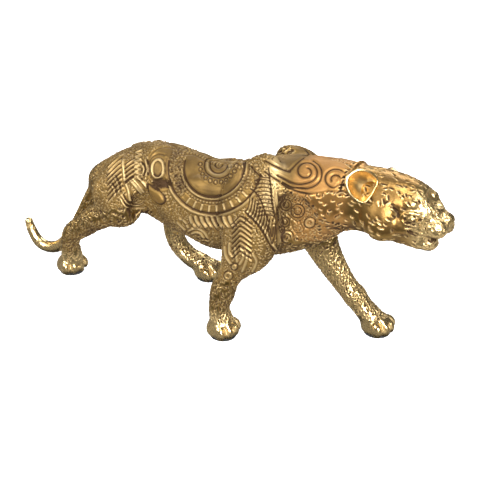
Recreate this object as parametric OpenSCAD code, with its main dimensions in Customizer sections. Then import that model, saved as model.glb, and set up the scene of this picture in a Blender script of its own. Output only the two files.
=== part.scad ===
// Prowling leopard mascot for a car bonnet: a hollow cast body with the head,
// ears, legs and tail cast apart, pegged to it and soldered. Millimetres, +Z up.
// The nose points along +X, the animal's left is +Y and the pads stand on Z = 0.

/* [Overall size] */
// Nose to rump
body_length = 165; // [137:1:200]
// Ground to the top of the shoulder blades
shoulder_height = 80; // [66:1:96]
// Width across the ribs
rib_width = 30; // [26:1:36]

/* [Body casting] */
// Wall of the hollow body
body_wall = 3; // [2.5:0.1:3.6]
// Diameter of the bosses that the leg pegs sit in
boss_d = 8; // [7:0.5:10]
// Diameter of the plugs that close the core holes
plug_d = 6; // [4:0.5:8]

/* [Neck joint] */
// Diameter of the head's spigot
spigot_d = 15; // [12:0.5:18]
// How far the spigot reaches into the neck
spigot_length = 9; // [7:0.5:11]
// Diameter of the pocket cored into the head
head_core_d = 8; // [6:0.5:10]
// Depth of that pocket beyond the joint
head_core_depth = 20; // [10:1:24]
// Diameter of the pin through the throat
neck_pin_d = 3; // [2:0.5:4]

/* [Legs] */
// Thickness of every leg against the standard leg
leg_bulk = 1; // [0.85:0.05:1.2]
// Diameter of the pegs that hold the legs
peg_d = 4; // [3:0.5:5]
// Length of those pegs
peg_length = 9; // [7.5:0.5:11]

/* [Tail] */
// Diameter of the tail over its run
tail_d = 6; // [5:0.25:7]
// Diameter of its tenon in the rump
tenon_d = 4; // [3:0.25:4.5]
// Length of that tenon
tenon_length = 9; // [7:0.5:10]
// Diameter of the pin across the tenon
tail_pin_d = 2; // [1.5:0.25:2.5]

/* [Head and ears] */
// Tilt of the head, its right side up, degrees
head_tilt = 10; // [0:1:12]
// Angle round the head from the crown to each ear, degrees
ear_spread = 57; // [52:1:60]
// How much further round the head the left ear is laid, degrees
left_ear_lay = 20; // [0:1:22]
// Radius of an ear's rim
ear_r = 5.8; // [4.6:0.2:7]
// Wall of an ear
ear_wall = 1; // [0.8:0.1:1.4]
// Diameter of the stalk soldered into the head
ear_stalk_d = 3; // [2:0.5:4]

/* [Paws] */
// Diameter of a sole pad
pad_d = 11; // [9.5:0.5:13]
// Thickness of a sole pad
pad_thickness = 1; // [0.6:0.1:1.6]
// Outer diameter of a threaded insert
insert_d = 5.5; // [5:0.25:6]
// Length of a threaded insert
insert_length = 7; // [6:0.5:8]
// Tapping bore of the insert, 3.3 for M4
thread_bore_d = 3.3; // [2.5:0.1:4.2]
// Depth of the thread in the insert
thread_depth = 6; // [4:0.5:7]

/* [Fits] */
// Radial gap round each pin, peg, spigot, plug and insert
fit_gap = 0.02; // [0:0.01:0.05]

/* [Hidden] */

// the outlines below are drawn for this standard animal and stretched to the sizes above
STANDARD = [165, 30, 80];
STRETCH = [body_length / STANDARD.x, rib_width / STANDARD.y, shoulder_height / STANDARD.z];

BODY_SIDES = 24;
LIMB_SIDES = 20;
BODY_STEPS = 4;
LIMB_STEPS = 3;
EPS = 0.01;
// how far a cutter runs past an open face
OVERRUN = 1;
BAR_SIDES = 48;
PIN_SIDES = 32;
ROUND_SIDES = 64;
gold = [0.72, 0.56, 0.28];
pale_gold = [0.83, 0.69, 0.4];
steel = [0.6, 0.61, 0.63];
brass = [0.78, 0.62, 0.3];
rubber = [0.12, 0.12, 0.12];

// body sections, rump to neck: x, middle y, middle z, half width, half height
BODY = [
    [-60, 0, 46, 5, 5.5], [-56, 0, 47, 10, 9], [-49, 0, 48, 12.4, 11.6], [-38, 0, 51.3, 14.6, 13.7],
    [-26, 0, 53, 15, 16.6], [-14, 0, 51, 14.6, 18.4], [0, 0, 48.6, 15, 18], [13, 0, 49.4, 15.6, 18.7],
    [24, 0, 52.8, 16, 20.2], [36, 0, 57.5, 15, 19.5], [46, 0, 62, 14, 17.4], [54, 0, 65.4, 12.8, 14.8],
    [64, 0, 67.2, 12.1, 13.1]
];
CAVITY_FIRST = 3;
CAVITY_LAST = 11;
NECK = BODY[len(BODY) - 1];

// head sections, neck joint to nose, in the same terms
HEAD = [
    NECK, [69, 0, 67.4, 12.3, 13], [76, 0, 67.4, 12.9, 13.3], [84, 0, 66.8, 12.6, 13.2],
    [89, 0, 66.2, 11.4, 12.4], [93, 0, 64.6, 9, 10.9], [97, 0, 63.2, 7.4, 9.4],
    [100.5, 0, 63.6, 6.6, 8], [103, 0, 65.4, 4.8, 5.2], [104, 0, 66.2, 2.4, 3]
];

// legs, top to sole: x, y, z, half thickness across, half thickness fore and aft
RIGHT_FRONT = [
    [31, -7.4, 77.4, 1, 2], [31, -8.4, 75.6, 3.2, 6], [28, -12, 70, 5.5, 10], [27, -14.5, 62, 6.5, 13],
    [27.5, -16, 52, 7, 13.5],
    [26.5, -17, 43, 6.5, 11], [22.6, -18, 35, 5.5, 7], [19.4, -18.8, 28, 4.8, 5],
    [15.6, -19.4, 18, 4.4, 4.7], [14.8, -19.6, 12, 4.5, 4.4]
];
RIGHT_FRONT_PAW = [16.6, -19.6];
LEFT_FRONT = [
    [32, 7.4, 76.8, 1, 2], [32, 8.4, 75, 3.2, 5.8], [33, 12, 69.6, 5.5, 10], [35, 14, 61, 6.5, 12],
    [38, 14.5, 50, 6.5, 11],
    [41, 14.5, 40, 6, 9.2], [46.2, 15, 30, 5.2, 6.8], [54, 15, 20, 4.6, 5], [61.5, 15.3, 12.2, 4.5, 4.6]
];
LEFT_FRONT_PAW = [70.6, 15.5];
RIGHT_HIND = [
    [-39, -8.5, 61.8, 2, 3], [-39, -10, 59, 4.5, 7.8], [-38.4, -12.5, 54.4, 6.5, 10.6],
    [-37, -14, 48, 7.5, 12.4],
    [-37.5, -15, 42.4, 7, 9],
    [-47.6, -14.5, 36.4, 5.8, 5.6], [-58, -14, 29, 4.9, 5], [-66, -13.2, 23, 4.3, 4.6],
    [-69.6, -11.8, 16, 4, 4.2], [-70.6, -10.4, 11, 4.4, 4.6]
];
RIGHT_HIND_PAW = [-72, -9.2];
LEFT_HIND = [
    [-42, 8.5, 60.6, 2, 3], [-42, 10, 58, 4.5, 7.6], [-41, 12.5, 54, 6.5, 10.8], [-37.4, 14.5, 46, 7.5, 11],
    [-34.4, 15.5, 37, 6, 7],
    [-32.2, 16, 28, 5.2, 5], [-32, 16.6, 20.4, 4.7, 4.6], [-29.4, 17, 13.8, 4.4, 4.3],
    [-24, 17.5, 9.4, 4.3, 4.2]
];
LEFT_HIND_PAW = [-14.4, 18];

// pegs of each leg: x and z of its two pegs, then the side
RIGHT_FRONT_PEGS = [[26, 62], [29, 51], -1];
LEFT_FRONT_PEGS = [[34, 63], [37, 54], 1];
RIGHT_HIND_PEGS = [[-43.5, 49.5], [-35, 46], -1];
LEFT_HIND_PEGS = [[-43, 49.5], [-35, 46], 1];
PEG_SETS = [RIGHT_FRONT_PEGS, LEFT_FRONT_PEGS, RIGHT_HIND_PEGS, LEFT_HIND_PEGS];

// tail from root to tip: x, y, z, thickness against tail_d
TAIL = [
    [-57, 0, 46, 1.1], [-61.5, -1, 41, 1.05], [-66.5, -2.2, 31.5, 1], [-72, -3.4, 21.5, 1],
    [-77.5, -4, 13, 1], [-83.5, -4, 7.4, 1], [-90, -4, 5, 0.97], [-95.6, -4, 6, 0.92],
    [-99.4, -4, 11.5, 0.8], [-100.8, -4, 17, 0.6]
];

// plugs in the belly, by x
PLUG_X = [-10, 12];

// ears: the head's axis there, how far from it the rim's middle is, and how the cup is turned
EAR_AXIS = [72, 0, 67.4];
EAR_REACH = 16;
EAR_AHEAD = 0.55;
EAR_TURNED_OUT = 16;

// where the tenon crosses the rump, and how far it runs on into the tail
TENON_AT = [-60, 0, 44.5];
TENON_OVERLAP = 1.5;

EAR_STALK_LENGTH = 7;
PAW_RIM = 0.5;
PAW_TOE = 1.2;
PAW_HEIGHTS = [7.6, 4.6];
PAW_SHARES = [0.9, 1.05];

function stretched(p) = [p.x * STRETCH.x, p.y * STRETCH.y, p.z * STRETCH.z];
function unit(v) = v / norm(v);

// a curve through four neighbouring rows, t from the second to the third
function through(a, b, c, d, t) =
    (2 * b + (c - a) * t + (2 * a - 5 * b + 4 * c - d) * t * t
        + (3 * b - a - 3 * c + d) * t * t * t) / 2;

// the rows of a table with steps - 1 smooth rows put between each two
function smooth(rows, steps) =
    let(last = len(rows) - 1)
    concat(
        [for (i = [0:last - 1], k = [0:steps - 1])
            through(rows[max(i - 1, 0)], rows[i], rows[i + 1], rows[min(i + 2, last)], k / steps)],
        [rows[last]]
    );

// an oval ring round p: half width along side, half height along up
function oval(p, side, up, half_width, half_height, sides) =
    [for (k = [0:sides - 1])
        p + side * half_width * cos(360 * k / sides) + up * half_height * sin(360 * k / sides)];

// a closed skin over rings of equal count, whose points turn the same way about their path
module skin(rings) {
    sides = len(rings[0]);
    last = len(rings) - 1;
    points = [for (ring = rings, p = ring) p];
    walls = [for (i = [0:last - 1], k = [0:sides - 1])
        let(a = i * sides + k, b = i * sides + (k + 1) % sides)
        each [[a, b + sides, b], [a, a + sides, b + sides]]];
    near_cap = [for (k = [0:sides - 1]) k];
    far_cap = [for (k = [0:sides - 1]) last * sides + sides - 1 - k];
    polyhedron(points = points, faces = concat([near_cap], walls, [far_cap]), convexity = 6);
}

// upright rings of a body or head table, drawn in by inset
function upright_rings(rows, inset) =
    [for (r = smooth(rows, BODY_STEPS))
        oval(stretched(r), [0, 1, 0], [0, 0, 1], r[3] * STRETCH.y - inset, r[4] * STRETCH.z - inset,
            BODY_SIDES)];

// level rings of a paw, from the ankle down to the top of its pad
function paw_rings(middle) =
    let(top = stretched([middle.x, middle.y, PAW_HEIGHTS[0]]))
    concat(
        [for (i = [0:len(PAW_HEIGHTS) - 1])
            oval([top.x, top.y, PAW_HEIGHTS[i] * STRETCH.z], [0, 1, 0], [1, 0, 0],
                (pad_d / 2 + PAW_RIM) * PAW_SHARES[i], (pad_d / 2 + PAW_TOE) * PAW_SHARES[i], LIMB_SIDES)],
        [oval([top.x, top.y, pad_thickness], [0, 1, 0], [1, 0, 0],
            pad_d / 2 + PAW_RIM, pad_d / 2 + PAW_TOE, LIMB_SIDES)]
    );

// rings square to a leg's path, then its paw
function leg_rings(rows, paw) =
    let(path = smooth(rows, LIMB_STEPS), last = len(path) - 1)
    concat(
        [for (i = [0:last])
            let(
                way = unit(stretched(path[min(i + 1, last)]) - stretched(path[max(i - 1, 0)])),
                across = unit(cross([1, 0, 0], way))
            )
            oval(stretched(path[i]), across, cross(way, across), path[i][3] * leg_bulk,
                path[i][4] * leg_bulk, LIMB_SIDES)],
        paw_rings(paw)
    );

function tail_rings() =
    let(path = smooth(TAIL, LIMB_STEPS), last = len(path) - 1)
    [for (i = [0:last])
        let(
            way = unit(stretched(path[min(i + 1, last)]) - stretched(path[max(i - 1, 0)])),
            across = [0, 1, 0]
        )
        oval(stretched(path[i]), across, cross(way, across), path[i][3] * tail_d / 2,
            path[i][3] * tail_d / 2, LIMB_SIDES)];

module body_skin() {
    skin(upright_rings(BODY, 0));
}

// a round bar from p along a direction
module bar(p, way, d, length) {
    translate(p)
        rotate([0, acos(unit(way).z), atan2(way.y, way.x)])
            cylinder(d = d, h = length, $fn = BAR_SIDES);
}

// a peg's place: on the body's skin, half in and half out, across the body
function peg_start(place, side) =
    [place.x * STRETCH.x, side * (rib_width / 2 + peg_length / 2), place.y * STRETCH.z];

module peg_bars(set, d, extra) {
    for (i = [0, 1])
        bar(peg_start(set[i], set[2]) + [0, set[2] * extra, 0], [0, -set[2], 0], d, peg_length + 2 * extra);
}

module leg(rows, paw, pegs) {
    foot = stretched([paw.x, paw.y, 0]);
    color(gold)
        difference() {
            skin(leg_rings(rows, paw));
            body_skin();
            peg_bars(pegs, peg_d + 2 * fit_gap, 0);
            translate(foot)
                cylinder(d = insert_d + 2 * fit_gap, h = pad_thickness + insert_length, $fn = BAR_SIDES);
        }
}

// the spigot stands on the neck joint and points back into the neck
module spigot(d, length) {
    p = stretched(NECK);
    bar(p, [-1, 0, 0], d, length);
}

// the tenon runs forward into the rump, from a little inside the tail
module tenon(d, length) {
    bar(stretched(TENON_AT) - [TENON_OVERLAP, 0, 0], [1, 0, 0], d, TENON_OVERLAP + length);
}

module neck_pin_bar(d) {
    p = stretched(NECK);
    low = p.z - NECK[4] * STRETCH.z;
    translate([p.x - spigot_length / 2, 0, low - EPS])
        cylinder(d = d, h = p.z - low, $fn = PIN_SIDES);
}

module tail_pin_bar(d) {
    root = stretched(TENON_AT);
    bar([root.x + tenon_length / 2, -rib_width, root.z], [0, 1, 0], d, 2 * rib_width);
}

module plug_bars(d) {
    for (x = PLUG_X)
        translate([x * STRETCH.x, 0, 0])
            cylinder(d = d, h = shoulder_height / 2, $fn = PIN_SIDES);
}

// from the neck joint back to the front of the cavity
function neck_to_cavity() = stretched(NECK).x - stretched(BODY[CAVITY_LAST]).x;

module cavity_core() {
    skin(upright_rings([for (i = [CAVITY_FIRST:CAVITY_LAST]) BODY[i]], body_wall));
}

module cavity() {
    difference() {
        cavity_core();
        for (set = PEG_SETS)
            peg_bars(set, boss_d, body_wall);
    }
}

module body_casting() {
    color(gold)
        difference() {
            body_skin();
            cavity();
            spigot(spigot_d + 2 * fit_gap, max(spigot_length, neck_to_cavity()) + body_wall);
            tenon(tenon_d + 2 * fit_gap, tenon_length);
            tail_pin_bar(tail_pin_d + 2 * fit_gap);
            neck_pin_bar(neck_pin_d + 2 * fit_gap);
            plug_bars(plug_d + 2 * fit_gap);
            for (set = PEG_SETS)
                peg_bars(set, peg_d + 2 * fit_gap, 0);
        }
}

module head_casting() {
    joint = stretched(NECK);
    color(gold)
        difference() {
            union() {
                skin(upright_rings(HEAD, 0));
                translate([EPS, 0, 0])
                    spigot(spigot_d, spigot_length + EPS);
            }
            bar(joint - [spigot_length + OVERRUN, 0, 0], [1, 0, 0], head_core_d,
                spigot_length + OVERRUN + head_core_depth);
            neck_pin_bar(neck_pin_d + 2 * fit_gap);
            for (side = [-1, 1])
                ear_stalk(side, ear_stalk_d + 2 * fit_gap);
        }
}

// an ear's angle from upright, then its middle and the way it faces; side is 1 on the left
function ear_angle(side) = ear_spread + side * head_tilt + (side > 0 ? left_ear_lay : 0);
function ear_middle(side) =
    stretched(EAR_AXIS + EAR_REACH * [0, side * sin(ear_angle(side)), cos(ear_angle(side))]);
function ear_faces(side) =
    let(turn = ear_angle(side) + EAR_TURNED_OUT, out = sqrt(1 - EAR_AHEAD * EAR_AHEAD))
    [EAR_AHEAD, side * out * sin(turn), out * cos(turn)];

// the stalk runs from the bottom of the cup into the head
module ear_stalk(side, d) {
    bar(ear_middle(side) - ear_faces(side) * (ear_r - ear_wall / 2), -ear_faces(side), d,
        EAR_STALK_LENGTH);
}

// a round cup, open the way it faces, with its stalk
module ear(side) {
    way = ear_faces(side);
    color(pale_gold)
        union() {
            difference() {
                translate(ear_middle(side))
                    rotate([0, acos(way.z), atan2(way.y, way.x)])
                        rotate_extrude($fn = ROUND_SIDES)
                            difference() {
                                intersection() {
                                    circle(r = ear_r, $fn = ROUND_SIDES);
                                    translate([0, -ear_r])
                                        square([ear_r, ear_r + ear_wall]);
                                }
                                circle(r = ear_r - ear_wall, $fn = ROUND_SIDES);
                            }
                skin(upright_rings(HEAD, 0));
            }
            ear_stalk(side, ear_stalk_d);
        }
}

module right_ear() {
    ear(-1);
}

module left_ear() {
    ear(1);
}

module right_front_leg() {
    leg(RIGHT_FRONT, RIGHT_FRONT_PAW, RIGHT_FRONT_PEGS);
}

module left_front_leg() {
    leg(LEFT_FRONT, LEFT_FRONT_PAW, LEFT_FRONT_PEGS);
}

module right_hind_leg() {
    leg(RIGHT_HIND, RIGHT_HIND_PAW, RIGHT_HIND_PEGS);
}

module left_hind_leg() {
    leg(LEFT_HIND, LEFT_HIND_PAW, LEFT_HIND_PEGS);
}

module tail_casting() {
    color(gold)
        difference() {
            union() {
                difference() {
                    skin(tail_rings());
                    body_skin();
                }
                tenon(tenon_d, tenon_length);
            }
            tail_pin_bar(tail_pin_d + 2 * fit_gap);
        }
}

module leg_pegs() {
    color(steel)
        for (set = PEG_SETS)
            peg_bars(set, peg_d, 0);
}

// flush pins and plugs: the part of each bar inside the skin
module neck_pin() {
    color(steel)
        intersection() {
            neck_pin_bar(neck_pin_d);
            body_skin();
        }
}

module tail_pin() {
    color(steel)
        intersection() {
            tail_pin_bar(tail_pin_d);
            body_skin();
        }
}

module core_plugs() {
    color(brass)
        difference() {
            intersection() {
                plug_bars(plug_d);
                body_skin();
            }
            cavity_core();
        }
}

PAWS = [RIGHT_FRONT_PAW, LEFT_FRONT_PAW, RIGHT_HIND_PAW, LEFT_HIND_PAW];

module paw_inserts() {
    color(brass)
        for (paw = PAWS)
            translate(stretched([paw.x, paw.y, 0]) + [0, 0, pad_thickness])
                difference() {
                    cylinder(d = insert_d, h = insert_length, $fn = BAR_SIDES);
                    translate([0, 0, -OVERRUN])
                        cylinder(d = thread_bore_d, h = OVERRUN + thread_depth, $fn = PIN_SIDES);
                }
}

module pad(paw) {
    color(rubber)
        translate(stretched([paw.x, paw.y, 0]))
            difference() {
                cylinder(d = pad_d, h = pad_thickness, $fn = ROUND_SIDES);
                translate([0, 0, -OVERRUN])
                    cylinder(d = insert_d, h = pad_thickness + 2 * OVERRUN, $fn = BAR_SIDES);
            }
}

module right_front_pad() {
    pad(RIGHT_FRONT_PAW);
}

module left_front_pad() {
    pad(LEFT_FRONT_PAW);
}

module right_hind_pad() {
    pad(RIGHT_HIND_PAW);
}

module left_hind_pad() {
    pad(LEFT_HIND_PAW);
}

body_casting();
head_casting();
right_ear();
left_ear();
right_front_leg();
left_front_leg();
right_hind_leg();
left_hind_leg();
tail_casting();
leg_pegs();
neck_pin();
tail_pin();
core_plugs();
paw_inserts();
right_front_pad();
left_front_pad();
right_hind_pad();
left_hind_pad();
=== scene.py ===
"""The looks of a prowling leopard mascot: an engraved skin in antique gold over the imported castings.

The skin is modelled as clay: a distance field of lofted limbs and muscles, meshed once, divided, engraved,
then cut into one closed piece for each casting. Lengths are in millimetres until a mesh is made.
"""

import math

import bpy
import numpy as np
import openvdb
from mathutils import Euler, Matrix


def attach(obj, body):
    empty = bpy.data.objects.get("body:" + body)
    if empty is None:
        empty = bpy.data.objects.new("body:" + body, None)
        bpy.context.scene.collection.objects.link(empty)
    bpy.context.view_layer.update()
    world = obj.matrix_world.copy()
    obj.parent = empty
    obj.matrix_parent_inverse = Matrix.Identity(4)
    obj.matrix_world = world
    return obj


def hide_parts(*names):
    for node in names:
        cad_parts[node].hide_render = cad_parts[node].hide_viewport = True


bl_info = {
    "name": "Leopard mascot",
    "version": (1, 0, 0),
    "blender": (4, 5, 0),
    "location": "3D View > Sidebar > Mascot",
    "description": "Sculpts, engraves and finishes a leopard mascot over its castings",
    "category": "Object",
}

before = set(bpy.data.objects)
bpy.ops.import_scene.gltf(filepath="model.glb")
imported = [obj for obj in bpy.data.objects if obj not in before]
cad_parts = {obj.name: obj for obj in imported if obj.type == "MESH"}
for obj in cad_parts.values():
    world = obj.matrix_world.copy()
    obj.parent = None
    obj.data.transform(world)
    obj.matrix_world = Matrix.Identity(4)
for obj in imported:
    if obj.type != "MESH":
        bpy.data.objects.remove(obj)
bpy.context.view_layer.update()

MM = 0.001

# ---------------------------------------------------------------------------------------------
# The animal's outline, in millimetres: X to the nose, Y to its left, Z up, ground at Z = 0
# ---------------------------------------------------------------------------------------------

PAD_TOP = 1.0

# x, y, z, half width, half height
BODY = [
    (-60, 0, 45.4, 4.4, 5), (-56, 0, 45.8, 7.6, 8), (-49, 0, 47.4, 10.6, 10.8), (-38, 0, 51.3, 14.2, 13.6),
    (-26, 0, 53, 14.6, 16.4), (-14, 0, 51, 14.6, 18.2), (0, 0, 48.6, 15, 17.9), (13, 0, 49.4, 15.6, 18.6),
    (24, 0, 52.8, 16, 20.1), (36, 0, 57.5, 15, 19.5), (46, 0, 62, 14, 17.4), (54, 0, 65.6, 12.8, 14.6),
    (60, 0, 67, 12.2, 13.2),
]
NECK_X = 64
SKULL = [
    (58, 0, 66.4, 12.2, 13.5), (66, 0, 67.5, 11.6, 12.8), (74, 0, 67.7, 12.4, 12.9),
    (82, 0, 67.2, 12, 12.8), (88, 0, 66.6, 10.4, 11.6), (92, 0, 66, 7.6, 9.2),
]
MUZZLE = [(83, 0, 64.6, 8.6, 9), (89, 0, 64.4, 7.6, 8), (94, 0, 64.6, 6.4, 6.2), (98.2, 0, 64.8, 4.8, 4.2)]
JAW = [(77, 0, 61.6, 9.4, 6.4), (85, 0, 59.7, 7.6, 4.9), (91, 0, 57.5, 5.6, 3.7), (95, 0, 56.9, 4.2, 3.0)]
# x, y, z, half thickness across, half thickness fore and aft
RIGHT_FRONT = [
    (31, -7.4, 77.4, 1, 2), (31, -8.4, 75.6, 3.2, 6), (28, -12, 69.6, 5.5, 10), (27, -14.5, 62, 6.5, 13),
    (27.5, -16, 52, 7, 13.5), (26.5, -17, 43, 6.5, 11), (22.6, -18, 35, 5.5, 6.8),
    (19.2, -18.8, 28, 4.8, 4.8), (15.6, -19.4, 18, 4.4, 4.6), (14.8, -19.6, 12, 4.5, 4.2),
    (16, -19.6, 6.5, 4.8, 5.2),
]
LEFT_FRONT = [
    (32, 7.4, 76.4, 1, 2), (32, 8.4, 74.6, 3.2, 5.6), (33, 12, 69.4, 5.5, 10), (35, 14, 61, 6.5, 12),
    (38, 14.5, 50, 6.5, 11), (41, 14.5, 40, 6, 9.2), (46.2, 15, 30, 5.2, 6.8), (54, 15, 20, 4.6, 5),
    (61.5, 15.3, 12, 4.5, 4.3), (67, 15.5, 7, 4.8, 4.8),
]
RIGHT_HIND = [
    (-38, -8.5, 61.5, 2, 3), (-38, -10, 58.6, 4.5, 7.6), (-37.6, -12.5, 54, 6.5, 10.4),
    (-36.6, -14, 48, 7.5, 12), (-37.5, -15, 43, 7, 8.6), (-47.5, -14.5, 37, 5.6, 5.2),
    (-58, -14, 29, 4.9, 5), (-66, -13.2, 23, 4.3, 4.6), (-69.6, -11.8, 16, 4, 4.2),
    (-70.6, -10.4, 11, 4.4, 4.6), (-71, -9.6, 6.5, 4.8, 5),
]
LEFT_HIND = [
    (-42, 8.5, 60.2, 2, 3), (-42, 10, 57.6, 4.5, 7.2), (-41, 12.5, 54, 6.5, 11), (-37, 14.5, 46, 7.5, 10.4),
    (-33.8, 15.5, 37, 6, 6), (-32, 16, 28, 5.2, 4.6), (-32.2, 16.6, 20, 4.7, 4.3), (-29.8, 17, 13, 4.4, 4),
    (-24.2, 17.5, 8, 4.4, 4), (-18.4, 18, 6.2, 4.6, 4.4),
]
# middle of each paw on the ground
PAWS = {
    "right_front_leg": (16.0, -19.6),
    "left_front_leg": (70.3, 15.5),
    "right_hind_leg": (-72.8, -9.2),
    "left_hind_leg": (-14.6, 18.0),
}
# x, y, z, half thickness twice
TAIL = [
    (-56, 0, 47, 3.6, 3.6), (-61.5, -1, 41, 3.15, 3.15), (-66.5, -2.2, 31.5, 3, 3),
    (-72, -3.4, 21.3, 2.8, 2.8), (-77.5, -4, 12.8, 2.8, 2.8), (-83.5, -4, 7.1, 2.8, 2.8),
    (-90, -4, 4.8, 2.7, 2.7), (-95.6, -4, 5.8, 2.6, 2.6), (-99.5, -4, 11, 2.3, 2.3),
    (-100.9, -4, 15.4, 1.9, 1.9),
]


def through(a, b, c, d, t):
    """A smooth curve's point between b and c."""
    return (2 * b + (c - a) * t + (2 * a - 5 * b + 4 * c - d) * t * t + (3 * b - a - 3 * c + d) * t ** 3) / 2


def smooth_rows(rows, steps):
    """The rows with steps - 1 smooth ones put between each two."""
    r = np.array(rows, float)
    last = len(r) - 1
    out = [
        through(r[max(i - 1, 0)], r[i], r[i + 1], r[min(i + 2, last)], k / steps)
        for i in range(last)
        for k in range(steps)
    ]
    return np.array(out + [r[last]])


def unit(v):
    v = np.asarray(v, float)
    return v / np.linalg.norm(v, axis=-1, keepdims=True)


class Clay:
    """A distance field on a grid, negative inside, that shapes are blended into."""

    FAR = 6.0

    def __init__(self, low, high, step):
        self.step = step
        self.low = np.floor(np.array(low, float) / step) * step
        self.count = np.ceil((np.array(high, float) - self.low) / step).astype(int) + 1
        self.field = np.full(self.count, self.FAR, np.float32)
        self.own = {}
        self.turned = np.eye(3)
        self.pivot = np.zeros(3)

    def place(self, p):
        """A point of the frame that shapes are being added in."""
        return self.pivot + self.turned @ (np.asarray(p, float) - self.pivot)

    def part(self, low, high):
        """The slices of the grid in a box, and their coordinates ready to broadcast."""
        a = np.clip(np.floor((np.asarray(low) - self.low) / self.step).astype(int), 0, self.count - 1)
        b = np.clip(np.ceil((np.asarray(high) - self.low) / self.step).astype(int) + 1, 1, self.count)
        where = tuple(slice(i, j) for i, j in zip(a, b))
        line = [(self.low[k] + self.step * np.arange(a[k], b[k])).astype(np.float32) for k in range(3)]
        return where, line[0][:, None, None], line[1][None, :, None], line[2][None, None, :]

    def blend(self, where, d, soft):
        old = self.field[where]
        if soft <= 0:
            self.field[where] = np.minimum(old, d)
            return
        h = np.clip(0.5 + 0.5 * (old - d) / soft, 0, 1)
        self.field[where] = old + (d - old) * h - soft * h * (1 - h)

    def carve(self, where, d, soft):
        """Takes a shape away."""
        old = self.field[where]
        h = np.clip(0.5 - 0.5 * (old + d) / soft, 0, 1)
        self.field[where] = old + (-d - old) * h + soft * h * (1 - h)

    def egg(self, middle, radii, soft=2.0, turn=(0, 0, 0), cut=False):
        """An ellipsoid, turned about X, Y and Z in degrees."""
        reach = max(radii) + abs(soft) + 2
        middle = self.place(middle)
        where, x, y, z = self.part(middle - reach, middle + reach)
        x, y, z = x - middle[0], y - middle[1], z - middle[2]
        spin = Euler([math.radians(t) for t in turn], "XYZ").to_matrix()
        m = (self.turned @ np.array(spin)).T
        x, y, z = (m[i, 0] * x + m[i, 1] * y + m[i, 2] * z for i in range(3))
        a, b, c = radii
        k0 = np.sqrt((x / a) ** 2 + (y / b) ** 2 + (z / c) ** 2) + 1e-6
        k1 = np.sqrt((x / a ** 2) ** 2 + (y / b ** 2) ** 2 + (z / c ** 2) ** 2) + 1e-6
        d = k0 * (k0 - 1) / k1
        (self.carve if cut else self.blend)(where, d, soft)

    def loft(self, rows, up, soft=2.0, steps=4, cut=False, name=None):
        """A limb with oval sections square to its path."""
        path = smooth_rows(rows, steps)
        p = np.array([self.place(q) for q in path[:, :3]])
        up = self.turned @ np.array(up, float)
        reach = path[:, 3:5].max() + abs(soft) + 2
        whole, _, _, _ = self.part(p.min(0) - reach, p.max(0) + reach)
        own = np.full([s.stop - s.start for s in whole], self.FAR, np.float32)
        base = np.array([s.start for s in whole])
        for i in range(len(p) - 1):
            a, b = p[i], p[i + 1]
            way = b - a
            length = np.linalg.norm(way)
            if length < 1e-6:
                continue
            t_dir = way / length
            side = unit(np.cross(up, t_dir))
            high = np.cross(t_dir, side)
            local = max(path[i, 3:5].max(), path[i + 1, 3:5].max()) + abs(soft) + 2
            where, x, y, z = self.part(np.minimum(a, b) - local, np.maximum(a, b) + local)
            x, y, z = x - a[0], y - a[1], z - a[2]
            along = x * t_dir[0] + y * t_dir[1] + z * t_dir[2]
            t = np.clip(along / length, 0, 1)
            past = along - t * length
            s = x * side[0] + y * side[1] + z * side[2]
            u = x * high[0] + y * high[1] + z * high[2]
            wide = path[i, 3] + (path[i + 1, 3] - path[i, 3]) * t
            tall = path[i, 4] + (path[i + 1, 4] - path[i, 4]) * t
            mean = (wide + tall) / 2
            k0 = np.sqrt((s / wide) ** 2 + (u / tall) ** 2 + (past / mean) ** 2) + 1e-6
            k1 = np.sqrt((s / wide ** 2) ** 2 + (u / tall ** 2) ** 2 + (past / mean ** 2) ** 2) + 1e-6
            d = k0 * (k0 - 1) / k1
            inner = tuple(slice(w.start - o, w.stop - o) for w, o in zip(where, base))
            own[inner] = np.minimum(own[inner], d)
        if name:
            self.own[name] = (base, own)
        (self.carve if cut else self.blend)(whole, own, soft)

    def own_distance(self, name, points):
        """How far points are from one named limb as it was before blending."""
        base, own = self.own[name]
        at = np.rint((points - self.low) / self.step).astype(int) - base
        inside = np.all((at >= 0) & (at < own.shape), axis=1)
        out = np.full(len(points), self.FAR)
        out[inside] = own[tuple(at[inside].T)]
        return out

    def rod(self, a, b, ra, rb, soft=2.0, cut=False):
        """A round bar from a to b."""
        self.loft([(*a, ra, ra), (*b, rb, rb)], (0.31, 0.77, 0.56), soft, 1, cut)

    def sample(self, points):
        """The clay's distance at some points."""
        g = np.clip((points - self.low) / self.step, 0, self.count - 1.01)
        i = g.astype(int)
        f = g - i
        out = np.zeros(len(points))
        for a in (0, 1):
            for b in (0, 1):
                for c in (0, 1):
                    share = np.abs(1 - a - f[:, 0]) * np.abs(1 - b - f[:, 1]) * np.abs(1 - c - f[:, 2])
                    out += share * self.field[i[:, 0] + a, i[:, 1] + b, i[:, 2] + c]
        return out

    def mesh(self):
        grid = openvdb.FloatGrid(background=self.FAR)
        grid.copyFromArray(self.field)
        points, quads = grid.convertToQuads(isovalue=0.0)
        return points * self.step + self.low, quads


# ---------------------------------------------------------------------------------------------
# The clay figure
# ---------------------------------------------------------------------------------------------

HEAD_AXIS = (72, 0, 67.4)
HEAD_TILT = 10
# the right eye before the head is tilted
EYE = (91.0, -8.9, 67.0)
LOW, HIGH = (-106, -29, -3), (109, 29, 88)
LEGS = {
    "right_front_leg": RIGHT_FRONT, "left_front_leg": LEFT_FRONT,
    "right_hind_leg": RIGHT_HIND, "left_hind_leg": LEFT_HIND,
}


def about_x(degrees):
    return np.array(Euler((math.radians(degrees), 0, 0)).to_matrix())


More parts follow.
